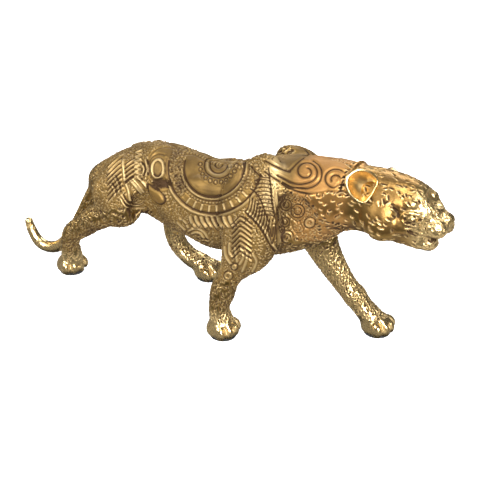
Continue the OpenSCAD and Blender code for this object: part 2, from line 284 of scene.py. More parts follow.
def sculpt_head(clay):
    clay.loft(SKULL, (0, 0, 1), 2.0)
    # raised collar rib at the neck joint
    clay.loft([(64.2, -9.4, 76.6, 0.7, 0.7), (64, -5.5, 79.4, 0.8, 0.8), (64, 0, 80.6, 0.8, 0.8),
               (64, 5.5, 79.4, 0.8, 0.8), (64.2, 9.4, 76.6, 0.7, 0.7)], (1, 0, 0), 0.5, 4)
    clay.turned, clay.pivot = about_x(-HEAD_TILT), np.array(HEAD_AXIS, float)
    clay.loft(JAW, (0, 0, 1), 1.6)
    clay.loft(MUZZLE, (0, 0, 1), 1.6)
    clay.rod((91, 0, 69.4), (100.8, 0, 67.1), 3.2, 2.9, 1.2)
    clay.egg((96.4, 0, 74.6), (4.2, 6, 3.2), 1.0, (0, 34, 0), cut=True)
    for side in (-1, 1):
        # crease between the cheek ruff and the throat, ruff, cheekbone, brow
        clay.egg((70.2, side * 14, 62), (1.9, 3.3, 8), 1.6, (0, 6, 0), cut=True)
        clay.egg((79.5, side * 8.4, 63.4), (7, 5.4, 7.8), 2.2)
        clay.egg((86.0, side * 13.6, 67.4), (1.7, 3.2, 5.6), 1.0, (0, -8, 0), cut=True)
        clay.egg((86.6, side * 8.6, 63.6), (4.6, 3.0, 3.6), 1.2)
        clay.egg((92.2, side * 5.0, 73.0), (2.9, 2.8, 2.3), 0.7)
        clay.egg((89.4, side * 7.6, 71.9), (3.2, 2.8, 2.3), 0.7, (0, 10, side * -20))
        # socket, then the eyeball in it with its lids
        clay.egg((92.0, side * 10.4, 67.4), (3.7, 2.7, 3.1), 0.7, (0, 0, side * -20), cut=True)
        clay.egg((EYE[0], side * -EYE[1], EYE[2]), (2.5, 2.3, 2.1), 0.2)
        clay.loft([(87.6, side * 10.7, 67.4, 0.7, 0.7), (89.8, side * 10.5, 69.3, 0.8, 0.8),
                   (93.0, side * 8.8, 69.0, 0.7, 0.7), (94.8, side * 7.2, 67.4, 0.6, 0.6)], (0, 1, 0), 0.5)
        clay.loft([(87.8, side * 10.7, 66.5, 0.6, 0.6), (90.0, side * 10.5, 64.8, 0.7, 0.7),
                   (93.0, side * 8.8, 65.1, 0.7, 0.7), (95.4, side * 6.8, 66.2, 0.5, 0.5)], (0, 1, 0), 0.5)
        # hollow behind the whisker pad, then the pad and the nostril
        clay.egg((96.2, side * 9.0, 64.2), (2.3, 3.2, 4.2), 0.8, (0, 10, 0), cut=True)
        clay.egg((98.6, side * 3.6, 64.0), (4.6, 3.7, 3.9), 1.1)
        clay.egg((103.4, side * 2.2, 66.6), (1.5, 0.9, 0.8), 0.3, (0, 0, side * 30), cut=True)
    clay.egg((95.8, 0, 57.0), (3.4, 4.2, 2.8), 1.2)
    clay.egg((101.6, 0, 67.4), (2.3, 3.2, 2.0), 0.5)
    # the split of the lip and the mouth
    clay.rod((103.0, 0, 65.6), (102.0, 0, 60.4), 0.4, 0.4, 0.4, cut=True)
    for side in (-1, 1):
        clay.loft([(102.6, 0, 59.6, 1.8, 0.9), (98.4, side * 5.2, 59.6, 1.8, 1.0),
                   (94.0, side * 7.8, 60.4, 2.1, 0.9), (90.8, side * 9.2, 62.0, 1.6, 0.6)],
                  (0, 0, 1), 0.4, 4, cut=True)
    clay.turned, clay.pivot = np.eye(3), np.zeros(3)


def sculpt_paw(clay, x, y, turn):
    """A paw of four toes on a broad sole that hides its pad."""
    clay.pivot = np.array((x, y, 0.0))
    clay.turned = np.array(Euler((0, 0, math.radians(turn))).to_matrix())
    clay.egg((x - 0.2, y, 2.6), (6.6, 6.1, 5.6), 1.6)
    clay.egg((x + 1.0, y, 5.6), (4.4, 4.7, 3.4), 1.4)
    for across, ahead in ((-4.5, 2.2), (-1.6, 3.8), (1.6, 3.8), (4.5, 2.2)):
        clay.egg((x + ahead, y + across, 3.4), (3.6, 1.95, 3.7), 0.3, (0, 0, across * 5))
    for across in (-3.05, 0, 3.05):
        tip = (x + 8.4 - 0.3 * abs(across), y + across * 1.15, 2)
        clay.rod((x + 2.6, y + across, 7.6), tip, 0.4, 0.5, 0.5, cut=True)
    clay.turned, clay.pivot = np.eye(3), np.zeros(3)


def sculpt_muscles(clay):
    for side in (-1, 1):
        # ribs and loin, flank tuck before the thigh
        clay.egg((6, side * 11, 50), (17, 5.5, 15), 4)
        clay.egg((-24, side * 15.5, 46), (6.5, 4, 7.5), 4, (0, 20, 0), cut=True)
        clay.egg((-33, side * 11.4, 57), (9, 4.6, 8), 3)
    # shoulder blade's crest, near and far
    clay.egg((33, -9.8, 70.6), (12, 3.2, 3.4), 2.5, (0, 12, 12))
    clay.egg((37.2, -11.4, 66.5), (4.4, 3.2, 9), 2.5, (-19, 0, 0))
    clay.egg((37, 9.5, 69.6), (11, 3.2, 3.4), 2.5, (0, 12, -12))
    clay.egg((22, -12.6, 68), (4, 3.2, 8), 2.5, (0, -24, 0))
    # hollow between the shoulder and the neck
    clay.egg((46, -13.4, 58), (8, 2.6, 10), 4, (0, -16, 0), cut=True)
    # near thigh and calf, elbow and forearm
    clay.egg((-41, -15.5, 49), (9, 5, 10), 3, (0, 30, 0))
    clay.egg((-50, -14.5, 35.5), (9, 5, 5), 2.5, (0, -22, 0))
    clay.egg((22, -17.6, 42), (5, 4.6, 8), 3, (0, 8, 0))
    clay.egg((31, -17.4, 46), (5, 4.4, 10), 3, (0, 20, 0))
    clay.egg((16.4, -19.5, 21), (4.4, 4.6, 6), 2.5)
    clay.egg((60, 15.3, 14.5), (4, 4.6, 4), 2.5)


def sculpt(step):
    clay = Clay(LOW, HIGH, step)
    clay.loft(BODY, (0, 0, 1), 0, name="body")
    clay.loft(TAIL, (0, 1, 0), 2.5, name="tail")
    for leg, rows in LEGS.items():
        clay.loft(rows, (1, 0, 0), 2.6, name=leg)
    sculpt_muscles(clay)
    sculpt_head(clay)
    for leg, (x, y) in PAWS.items():
        sculpt_paw(clay, x, y, -16 if leg.startswith("right_hind") else -8)
    where, x, y, z = clay.part(LOW, (*HIGH[:2], 10))
    clay.field[where] = np.maximum(clay.field[where], PAD_TOP - z + 0 * x + 0 * y)
    return clay


def divided(points, quads, rounds):
    """The mesh divided and rounded off."""
    mesh = bpy.data.meshes.new("clay")
    mesh.from_pydata(points.tolist(), [], quads.tolist())
    obj = bpy.data.objects.new("clay", mesh)
    bpy.context.scene.collection.objects.link(obj)
    divide = obj.modifiers.new("divide", "SUBSURF")
    divide.levels = rounds
    divide.render_levels = rounds
    bpy.context.view_layer.update()
    done = obj.evaluated_get(bpy.context.evaluated_depsgraph_get()).to_mesh()
    p = np.empty(3 * len(done.vertices), np.float32)
    done.vertices.foreach_get("co", p)
    f = np.empty(4 * len(done.polygons), np.int32)
    done.loops.foreach_get("vertex_index", f)
    bpy.data.objects.remove(obj)
    bpy.data.meshes.remove(mesh)
    return p.reshape(-1, 3).astype(float), f.reshape(-1, 4)


class Skin:
    """The whole figure's surface, with each point's patina and painted shade, its polish and painted
    highlight, and how warm it is.
    """

    def __init__(self, points, faces):
        self.points = points
        self.faces = faces
        self.normals = self.find_normals()
        self.recess = np.zeros(len(points))
        self.polish = np.zeros(len(points))
        self.warmth = np.zeros(len(points))

    def find_normals(self):
        a, b, c, d = (self.points[self.faces[:, k]] for k in range(4))
        n = np.cross(c - a, d - b)
        out = np.zeros_like(self.points)
        for axis in range(3):
            for k in range(4):
                out[:, axis] += np.bincount(self.faces[:, k], n[:, axis], len(self.points))
        return unit(out + 1e-12)

    def push(self, amount):
        self.points = self.points + self.normals * amount[:, None]
        self.normals = self.find_normals()


def ramp(v, low, high):
    """0 below low, 1 above high, smooth between."""
    t = np.clip((np.asarray(v, float) - low) / (high - low), 0, 1)
    return t * t * (3 - 2 * t)


# ---------------------------------------------------------------------------------------------
# Engraving
# ---------------------------------------------------------------------------------------------

# The flank's drawing plane: the directions across and up in it, and out of it, for the right side.
ACROSS = np.array((0.857, 0.515, 0.0))
UPWARD = np.array((-0.242, 0.402, 0.883))
OUTWARD = np.array((0.455, -0.757, 0.469))
MIDDLE = (0.6, 56.8)
INNER = (2.6, 57.7)


def curved(line, step=0.25):
    """A polyline rounded through its points."""
    p = np.array(line, float)
    if len(p) == 2:
        return p
    last = len(p) - 1
    out = []
    for i in range(last):
        count = max(2, int(np.linalg.norm(p[i + 1] - p[i]) / step / 2))
        for k in range(count):
            out.append(through(p[max(i - 1, 0)], p[i], p[i + 1], p[min(i + 2, last)], k / count))
    return np.array(out + [p[last]])


def arc(middle, radius, start, end, squash=1.0):
    """Degrees run from straight ahead, downward."""
    t = np.radians(np.linspace(start, end, max(6, int(abs(end - start) / 6))))
    return np.stack([middle[0] + radius * np.cos(t), middle[1] - squash * radius * np.sin(t)], 1)


def along(line, spacing):
    """Points and directions at equal spaces along a line."""
    p = curved(line)
    gaps = np.linalg.norm(np.diff(p, axis=0), axis=1)
    run = np.concatenate([[0], np.cumsum(gaps)])
    stops = np.arange(spacing / 2, run[-1], spacing)
    q = np.stack([np.interp(stops, run, p[:, k]) for k in (0, 1)], 1)
    ahead = np.stack([np.interp(stops + 0.1, run, p[:, k]) for k in (0, 1)], 1)
    back = np.stack([np.interp(stops - 0.1, run, p[:, k]) for k in (0, 1)], 1)
    return q, unit(ahead - back + 1e-9)


def spiral(middle, outer, inner, start, end):
    """A scroll's turns in arc's degrees, the radius going evenly from outer to inner."""
    share = np.linspace(0, 1, max(6, int(abs(end - start) / 20)))
    t = np.radians(start + (end - start) * share)
    r = outer + (inner - outer) * share
    return np.stack([middle[0] + r * np.cos(t), middle[1] - r * np.sin(t)], 1).tolist()


def stack(line, step, count):
    """The same line count times, each moved on by step."""
    return [[(x + k * step[0], y + k * step[1]) for x, y in line] for k in range(count)]


# grooves over the shoulder blade, three of which end in scrolls
SCAPULA_GROOVES = [
    [(20.5, 58), (25, 55.5), (30, 53.5)],
    [(20.5, 53.5), (25.5, 50), (31, 46.5), (35, 45), (39.5, 44.5), (43.5, 45), (50.5, 47.5)],
    [(25.5, 52), (28.5, 50.5), (31, 49), (34, 48.5)] + spiral((36, 53.5), 4.5, 1.5, 75, -425),
    [(27.5, 49), (30, 47.5), (33, 47)] + spiral((36, 53), 6.2, 5.5, 90, -57),
    [(30, 54), (33.5, 57.5), (35.5, 59)],
    spiral((46.5, 50), 4.6, 3.2, -5, -265) + spiral((46.5, 50), 2.2, 1.5, -310, -560),
]
# rope edging under the scrolls
ROPE = [(30.5, 43), (34, 42.5), (37.5, 42.5), (44.5, 44.5), (51, 47)]
# pointed shield at the front of the shoulder
SHIELD_LINES = [
    [(13, 38), (18, 33), (20, 30), (22, 26.5), (24, 23.5), (26, 21.5)],
    [(25, 45.5), (25.5, 40.5), (26.5, 35), (26.5, 29.5), (26.5, 23.5)],
    [(23, 46.5), (23.5, 41.5), (25, 35), (25.5, 29.5), (25.5, 25)],
    [(21.5, 33), (22.5, 29), (23.5, 26), (24.5, 29), (25, 33)],
    [(22.5, 32), (23.5, 28.5), (24, 32)],
]
# ribbed leaf on the shoulder
LEAF_SIDES = [
    [(15, 47), (17, 45.5), (19, 42.5), (20.5, 38.5), (22, 34.5)],
    [(22, 55), (22.5, 51), (23, 46.5)],
    [(15.5, 55.5), (17, 53.5), (19.5, 51.5), (22.5, 51)],
]
LEAF_RIBS = stack([(16.5, 50), (19.5, 50.5), (22.5, 50)], (0.2, -1.5), 10)
# long feather strokes behind the shield
FEATHERS = stack([(13.5, 38.5), (14.5, 41), (15, 44.5)], (0.93, -1.15), 9)
CHEVRONS = stack([(8, 33.5), (9.5, 35), (11, 36.5), (13, 35.5), (15.5, 33.5)], (0, -1.95), 8)
SHOULDER_BEADS = [
    [(15.5, 57), (15, 53.5), (13.5, 46.5)],
    [(12.5, 54), (12.5, 50.5), (11, 46.5), (9.5, 43)],
]
# lines between the rings on the chest
CHEST_LINES = [
    [(31, 34.5), (31.5, 32), (33, 30), (35, 30.5), (35.5, 31.5), (34, 34.5)],
    [(29.5, 37.5), (31.5, 35.5), (33.5, 34.5), (35.5, 36)],
    [(28, 25), (30.5, 25.5), (35.5, 29)],
]
# raised leaves on the upper arm
ARM_RIDGES = [
    [(9, 24.5), (9.5, 22), (10, 19)],
    [(5, 24.5), (5.5, 21), (7.5, 18)],
    [(11.5, 24.5), (12.5, 21), (11, 18)],
    [(14, 22.5), (13.5, 19), (12, 15)],
    [(16, 22), (17.5, 19), (16, 15)],
    [(7, 26), (7, 22.5), (8.5, 20.5)],
]
# raised leaf in front of the thigh
FLANK_LEAF = [
    (-27, 50.5), (-24, 49), (-21, 46.5), (-19.5, 43.5), (-21.5, 42), (-24.5, 43.5), (-26.5, 46.5), (-27, 50.5),
]
# smooth petals round the hip
HIP_GROOVES = [
    [(-27, 54.5), (-27, 59.5), (-25, 64), (-21, 66), (-16, 65.5)],
    [(-25.5, 53), (-26, 57), (-25.5, 61), (-23, 63), (-20, 62.5)],
    [(-19, 61), (-19.5, 57), (-18.5, 52.5)],
]
# bead rows in front of the thigh, over it and along the spine
HAUNCH_BEADS = [
    [(-19.5, 47), (-18.5, 43.5), (-17.5, 39.5)],
    [(-34.5, 65), (-36, 63), (-37, 61)],
    [(-11, 63.5), (-7, 62.5), (0, 58.5), (4, 57.5)],
    [(6.5, 57), (10, 55.5), (13.5, 56)],
]
# raised ribs on the thigh
RUMP_RIDGES = [
    [(-37.5, 60.5), (-36.5, 52)],
    [(-36, 50.5), (-35, 47.5), (-34.5, 44)],
    [(-33, 52.5), (-29, 47.5)],
    [(-31, 53.5), (-27.5, 49.5)],
    [(-34, 52), (-30, 47)],
]
# slanting stripes at the back of the thigh and in its middle, and a zigzag column in front of them
RUMP_STRIPES = stack([(-38.5, 64), (-41.5, 61.5), (-44.5, 58.5)], (0.05, -2.11), 8)
THIGH_STRIPES = stack([(-33, 61.5), (-34.5, 60.5), (-36.5, 59)], (0.05, -1.92), 5)
RUMP_ZIGZAG = stack([(-30, 65), (-32.5, 64), (-30, 63)], (0.05, -2.14), 6)
# curved strokes round the knee
THIGH_CURVES = [
    [(-41, 53.5), (-39.5, 50.5), (-39, 47)],
    [(-42.5, 50.5), (-41, 48), (-41, 45.5)],
    [(-38.5, 44.5), (-36.5, 41.5), (-33.5, 40.5), (-29.5, 41)],
    [(-38, 46), (-36, 43), (-33, 42), (-30, 43)],
    [(-28, 60.5), (-27, 57), (-27.5, 54)],
    [(-30, 59.5), (-28.5, 56.5), (-29.5, 53.5)],
]
# rosette arcs low on the belly
BELLY_ARCS = [
    [(-10, 31), (-7.5, 32), (-5, 31.5), (-3, 30), (-2, 28)],
    [(-8.5, 30), (-7, 30.5), (-5, 30), (-3.5, 28)],
    [(-13.5, 36), (-11.5, 35), (-10, 32.5)],
    [(-14.5, 34.5), (-13, 33), (-11.5, 31.5)],
]
# petals under the brick row
PETALS = stack([(-9.2, 36.7), (-8.6, 34.7), (-7.2, 32.7)], (2.3, -0.05), 8)


class Drawing:
    """Relief, dark patina and polish drawn on the flank's plane, in millimetres, with painted shadow in the
    sunken field under the drop.
    """

    STEP = 0.12

    def __init__(self, low, high):
        self.low = np.array(low, float)
        self.count = np.ceil((np.array(high, float) - self.low) / self.STEP).astype(int) + 1
        layers = [np.zeros(self.count, np.float32) for _ in range(4)]
        self.relief, self.recess, self.polish, self.plain = layers

    def near(self, p, reach):
        a = np.clip(((p.min(0) - reach - self.low) / self.STEP).astype(int), 0, self.count - 1)
        b = np.clip(((p.max(0) + reach - self.low) / self.STEP).astype(int) + 2, 1, self.count)
        s = (self.low[0] + self.STEP * np.arange(a[0], b[0]))[:, None]
        t = (self.low[1] + self.STEP * np.arange(a[1], b[1]))[None, :]
        return (slice(a[0], b[0]), slice(a[1], b[1])), s, t

    def distance(self, line, reach):
        p = curved(line)
        where, s, t = self.near(p, reach)
        best = np.full(np.broadcast(s, t).shape, 99.0)
        for (ax, ay), (bx, by) in zip(p[:-1], p[1:]):
            dx, dy = bx - ax, by - ay
            k = np.clip(((s - ax) * dx + (t - ay) * dy) / (dx * dx + dy * dy + 1e-9), 0, 1)
            best = np.minimum(best, np.hypot(s - ax - k * dx, t - ay - k * dy))
        return where, best

    def groove(self, line, width=0.42, depth=0.32, dark=1.0):
        """A cut line with a burr thrown up on both sides."""
        where, d = self.distance(line, width * 5)
        burr = 0.3 * depth * np.exp(-((d / width - 2) / 0.9) ** 2)
        self.relief[where] += -depth * np.exp(-(d / width) ** 2) + burr
        self.recess[where] = np.maximum(self.recess[where], dark * np.exp(-(d / width / 1.05) ** 2))

    def ridge(self, line, width=0.5, height=0.35, bright=0.8):
        """A raised line with dark feet."""
        where, d = self.distance(line, width * 5)
        foot = 0.35 * height * np.exp(-((d / width - 2.1) / 0.8) ** 2)
        self.relief[where] += height * np.exp(-(d / width) ** 2) - foot
        self.polish[where] = np.maximum(self.polish[where], bright * np.exp(-(d / width) ** 2))
        self.recess[where] = np.maximum(self.recess[where], 0.75 * np.exp(-((d / width - 2.0) / 0.7) ** 2))

    def bead(self, place, radius=0.5, height=0.4):
        self.ridge([place, (place[0] + 0.01, place[1])], radius * 0.8, height, 0.6)

    def ring(self, middle, radius, start=0, end=360):
        self.groove(arc(middle, radius, start, end), 0.34, 0.3)

    def fill(self, outline, height, soft, dark=0.0):
        """Raises, or sinks, the inside of a closed outline."""
        p = curved(outline)
        where, d = self.distance(outline, abs(height) + soft)
        _, s, t = self.near(p, abs(height) + soft)
        inside = np.zeros(d.shape, bool)
        for (ax, ay), (bx, by) in zip(p, np.roll(p, -1, 0)):
            crosses = (ay > t) != (by > t)
            inside ^= crosses & (s < (bx - ax) * (t - ay) / (by - ay + 1e-12) + ax)
        share = np.where(inside, ramp(d, 0, soft), 0)
        self.relief[where] += height * share
        self.recess[where] = np.maximum(self.recess[where], dark * share)
        self.plain[where] = np.maximum(self.plain[where], inside * 1.0)

    def read(self, layer, s, t):
        x = np.clip((s - self.low[0]) / self.STEP, 0, self.count[0] - 1.01)
        y = np.clip((t - self.low[1]) / self.STEP, 0, self.count[1] - 1.01)
        i, j = x.astype(int), y.astype(int)
        u, v = x - i, y - j
        return ((1 - u) * (1 - v) * layer[i, j] + u * (1 - v) * layer[i + 1, j]
                + (1 - u) * v * layer[i, j + 1] + u * v * layer[i + 1, j + 1])


def draw_mandala(d, rng):
    """A half rosette hung from the back: scroll, flowers, plain band, bricks and petals."""
    d.fill(arc(MIDDLE, 12.1, 0, 360), 0.5, 2.5)
    d.fill(arc(MIDDLE, 18.6, 36, 144).tolist() + arc(MIDDLE, 12.6, 144, 36).tolist(), 0.0, 1.0)
    d.groove(arc(MIDDLE, 12.3, -14, 196), 0.5, 0.5)
    d.ridge(arc(MIDDLE, 13.1, 2, 178), 0.35, 0.25, 0.5)
    d.groove(arc(MIDDLE, 14.1, 0, 180), 0.32, 0.25, 0.8)
    d.groove(arc(MIDDLE, 15.3, 30, 140), 0.3, 0.2, 0.6)
    d.groove(arc(MIDDLE, 18.9, 14, 190), 0.5, 0.45)
    d.ridge(arc(MIDDLE, 19.8, 20, 160), 0.4, 0.25, 0.5)
    for degrees in np.arange(38, 142, 5.2):
        d.bead(arc(MIDDLE, 14.75, degrees, degrees)[0], 0.36, 0.25)
    for degrees in np.arange(44, 136, 10.4):
        spoke = [arc(MIDDLE, r, degrees, degrees)[0] for r in (15.9, 18.3)]
        d.ridge(spoke, 0.3, 0.4, 1.0)
    # granules down the back of the row, and smaller ones in front
    for _ in range(150):
        g, r = rng.uniform(140, 212), rng.uniform(13.6, 18.2)
        d.bead(arc(MIDDLE, r, g, g)[0], rng.uniform(0.28, 0.5), 0.35)
    for _ in range(50):
        g, r = rng.uniform(-16, 32), rng.uniform(13.8, 19)
        d.bead(arc(MIDDLE, r, g, g)[0], rng.uniform(0.28, 0.45), 0.3)
    for r in (1.5, 3.6, 5.9):
        d.groove(arc(INNER, r, -20, 210), 0.36, 0.35)
    d.ridge(arc(INNER, 4.8, 0, 190), 0.5, 0.25, 0.5)
    for degrees in np.arange(-4, 200, 17):
        spot = arc(INNER, 7.6, degrees, degrees)[0]
        d.groove(arc(spot, 0.85, 0, 360), 0.26, 0.3, 0.9)
        d.bead(spot, 0.35, 0.35)
    d.groove(arc(INNER, 9.0, 10, 172), 0.26, 0.18, 0.5)
    for line in PETALS:
        d.ridge(line, 0.4, 0.4, 0.9)
        d.groove([(x + 1.1, y + 0.1) for x, y in line], 0.3, 0.25, 0.9)
    for degrees in np.arange(52, 128, 11):
        scallop = arc(MIDDLE, 24.2, degrees, degrees)[0]
        d.groove(arc(scallop, 1.7, degrees - 90, degrees + 90), 0.3, 0.25, 0.9)
    for line in BELLY_ARCS:
        d.ridge(line, 0.35, 0.35, 0.9)


def draw_shoulder(d):
    """Scrolls, rope, shield, leaf, feathers and chevrons, with the rings on the chest."""
    blade = [(23, 58), (30, 60), (38, 60), (52, 55), (51, 48), (44, 44.5), (34, 45), (27, 49), (22, 54)]
    d.fill(blade, 0.0, 1.0)
    d.fill([(s + 0.5, t) for s, t in SHIELD_LINES[3]], 0.0, 1.0)
    for line in SCAPULA_GROOVES:
        d.groove(line, 0.46, 0.5)
    for p, way in zip(*along(ROPE, 1.25)):
        slant = 0.45 * np.array((-way[1], way[0])) + 0.25 * way
        d.groove([p - slant, p + slant], 0.3, 0.35)
    for k, line in enumerate(SHIELD_LINES):
        (d.ridge if k == 1 else d.groove)(line, 0.4, 0.45)
    edge = [(x + 0.9, y + 0.5) for x, y in SHIELD_LINES[0]]
    d.ridge(edge, 0.4, 0.4, 0.9)
    for line in LEAF_SIDES:
        d.groove(line, 0.4, 0.4)
    for line in LEAF_RIBS:
        d.groove(line, 0.36, 0.35)
    for line in FEATHERS:
        d.groove(line, 0.34, 0.35)
        d.ridge([(x + 0.55, y - 0.3) for x, y in line], 0.25, 0.15, 0.5)
    for line in CHEVRONS:
        d.groove(line, 0.36, 0.35)
        d.ridge([(x, y - 0.75) for x, y in line], 0.28, 0.18, 0.5)
    for line in SHOULDER_BEADS:
        for p, _ in zip(*along(line, 1.3)):
            d.bead(p, 0.45, 0.4)
    for line in CHEST_LINES:
        d.groove(line, 0.36, 0.35, 0.8)
    for middle, radius in (((28.7, 40.8), 2.1), ((33.2, 38.4), 2.5), ((28.4, 34.3), 1.9)):
        d.ring(middle, radius)
        d.groove(arc(middle, radius * 0.55, -60, 220), 0.3, 0.35)
        d.bead(middle, 0.35, 0.25)
    for middle, radius in (((29.4, 28.6), 2.5), ((37.8, 33.9), 2.1), ((8.8, 16.7), 1.4), ((6.4, 13.1), 1.9)):
        d.ring(middle, radius)
        d.ridge(arc(middle, radius - 0.75, 0, 360), 0.3, 0.25, 0.6)
    for line in ARM_RIDGES:
        d.ridge(line, 0.4, 0.45, 0.8)


def draw_haunch(d, rng):
    """Petals and a drop on the hip, stripes, ribs and a zigzag on the thigh."""
    d.fill([(-27, 52), (-27, 60), (-24, 64), (-18, 66.5), (-17, 63), (-19, 58), (-19, 53)], 0.2, 1.5)
    for line in HIP_GROOVES:
        d.groove(line, 0.4, 0.4, 0.7)
    drop = arc((-22.5, 56.7), 2.5, 0, 360, 1.5)
    d.fill(drop, 0.5, 1.2)
    d.ridge(drop, 0.42, 0.5, 0.9)
    d.groove(arc((-22.6, 56.4), 1.9, 40, 140, 1.6), 0.4, 0.4)
    d.groove(arc((-22.6, 57.2), 4.2, 95, 265, 1.4), 0.36, 0.3, 0.7)
    # a sunken field of granules under the drop, dark with patina and with painted shadow from the drop
    shaded_hollow = arc((-21.3, 50.4), 5.2, 0, 360, 0.62)
    d.fill(shaded_hollow, -0.9, 2.2, 0.95)
    for _ in range(9):
        d.bead((rng.uniform(-25, -17.6), rng.uniform(48.6, 52.2)), 0.5, 0.6)
    d.fill(FLANK_LEAF, 0.8, 1.2)
    d.groove(FLANK_LEAF, 0.4, 0.4)
    for line in HAUNCH_BEADS:
        for p, _ in zip(*along(line, 1.35)):
            d.bead(p, 0.5, 0.45)
    for line in RUMP_RIDGES:
        d.ridge(line, 0.45, 0.55, 1.0)
    for line in RUMP_STRIPES + THIGH_STRIPES:
        d.groove(line, 0.36, 0.35)
        d.ridge([(x + 0.5, y - 0.6) for x, y in line], 0.28, 0.2, 0.6)
    for line in RUMP_ZIGZAG:
        d.ridge(line, 0.36, 0.4, 0.8)
    for line in THIGH_CURVES:
        d.ridge(line, 0.36, 0.35, 0.8)
        d.groove([(x + 0.8, y + 0.3) for x, y in line], 0.3, 0.3)


def drawn_zone(p, n):
    """Where the flank drawing shows: on the sides, clear of head, paws, belly and the fur below."""
    s, t = flank(p)
    sideways = np.abs(n[:, 1]) * -OUTWARD[1] * side_of(p, n)
    facing = n[:, 0] * OUTWARD[0] + sideways + n[:, 2] * OUTWARD[2]
    zone = ramp(facing, 0.08, 0.3)
    zone = zone * ramp(t - np.where(s < -26, 40.5, 0), -1.0, 1.0)
    zone = zone * ramp(t - np.where((s > -2) & (s < 30), 11, 28), -1.0, 1.0)
    rope_line = 43.4 + 0.27 * (s - 31)
    below_rope = ramp(s, 35, 37.5) * ramp(rope_line - t, 0.4, 1.6) * ramp(t - 27 - (s < 42) * 4, -20, -19)
    chest = ((s < 40) & (t < 40)) * 1.0
    zone = zone * (1 - below_rope * (1 - chest))
    return zone * (1 - ramp(p[:, 0], NECK_X - 4, NECK_X - 1)) * ramp(p[:, 0], -58, -54)


def side_of(p, n):
    """1 where the surface faces out of its own side, -1 where it faces the other leg."""
    return np.where(n[:, 1] * p[:, 1] >= 0, 1.0, -1.0)


def flank(p):
    """Places on the drawing plane, the left side folded over onto the right."""
    y = -np.abs(p[:, 1])
    return ACROSS[0] * p[:, 0] + ACROSS[1] * y, UPWARD[0] * p[:, 0] + UPWARD[1] * y + UPWARD[2] * p[:, 2]


class Cells:
    """Points sorted by the cubes they lie in."""

    def __init__(self, points, size):
        self.size = size
        cube = np.floor(points / size).astype(np.int64)
        key = self.key(cube[:, 0], cube[:, 1], cube[:, 2])
        self.order = np.argsort(key, kind="stable")
        names, starts = np.unique(key[self.order], return_index=True)
        ends = np.append(starts[1:], len(key))
        self.found = {k: (a, b) for k, a, b in zip(names.tolist(), starts.tolist(), ends.tolist())}

    @staticmethod
    def key(i, j, k):
        return (i + 512) * 1048576 + (j + 512) * 1024 + (k + 512)

    def near(self, p, reach):
        lo = np.floor((p - reach) / self.size).astype(int)
        hi = np.floor((p + reach) / self.size).astype(int)
        parts = []
        for i in range(lo[0], hi[0] + 1):
            for j in range(lo[1], hi[1] + 1):
                for k in range(lo[2], hi[2] + 1):
                    span = self.found.get(int(self.key(i, j, k)))
                    if span:
                        parts.append(self.order[span[0]:span[1]])
        return np.concatenate(parts) if parts else np.zeros(0, int)


def scattered(points, choose, spacing, rng):
    """One of the chosen points from each cube of that spacing."""
    index = np.flatnonzero(choose)
    rng.shuffle(index)
    cube = np.floor(points[index] / spacing).astype(np.int64)
    _, first = np.unique(Cells.key(cube[:, 0], cube[:, 1], cube[:, 2]), return_index=True)
    return index[first]


def lay_fur(skin, cells, places, flow, rng, length, width, depth, dark, spread=24):
    """Short cut strokes with a burr below, lying along flow."""
    amount = np.zeros(len(skin.points))
    for i in places:
        p, n = skin.points[i], skin.normals[i]
        way = flow[i] - n * (flow[i] @ n)
        size = np.linalg.norm(way)
        if size < 0.05:
            continue
        way = way / size
        across = np.cross(n, way)
        turn = math.radians(rng.normal(0, spread))
        cos, sin = math.cos(turn), math.sin(turn)
        way, across = way * cos + across * sin, across * cos - way * sin
        long = length * rng.uniform(0.7, 1.3)
        near = cells.near(p, long / 2 + width)
        rel = skin.points[near] - p
        a, c, up = rel @ way / (long / 2), rel @ across / width, rel @ n
        taper = np.clip(1 - a * a, 0, 1) * (np.abs(up) < 1.2)
        cut = np.exp(-c * c) * taper
        burr = np.exp(-((c - 1.9) / 0.8) ** 2) * taper
        amount[near] += depth * (0.45 * burr - cut)
        skin.recess[near] = np.maximum(skin.recess[near], dark * np.sqrt(cut) * rng.uniform(0.8, 1.1))
        skin.polish[near] = np.maximum(skin.polish[near], 0.8 * burr)
    return amount


def fur_flow(p):
    """Which way the fur lies: back along the head, neck and body, down the legs."""
    flow = np.tile(np.array((-0.85, 0.0, -0.5)), (len(p), 1))
    flow[p[:, 2] < 34] = (-0.1, 0.0, -1.0)
    head = p[:, 0] > NECK_X
    flow[head & (p[:, 2] > 40)] = (-0.9, 0.0, 0.42)
    flow[(p[:, 0] < -57) & (p[:, 2] < 47)] = (-0.4, 0.0, -0.9)
    return flow


def engrave(skin, rng, depth):
    d = Drawing((-80, -16), (74, 74))
    draw_mandala(d, rng)
    draw_shoulder(d)
    draw_haunch(d, rng)
    p, n = skin.points, skin.normals
    zone = drawn_zone(p, n)
    s, t = flank(p)
    amount = depth * d.read(d.relief, s, t) * zone
    skin.recess = d.read(d.recess, s, t) * zone
    skin.polish = d.read(d.polish, s, t) * zone
    busy = np.maximum(np.maximum(skin.recess, skin.polish), d.read(d.plain, s, t) * (zone > 0.3))
    return amount, zone, busy


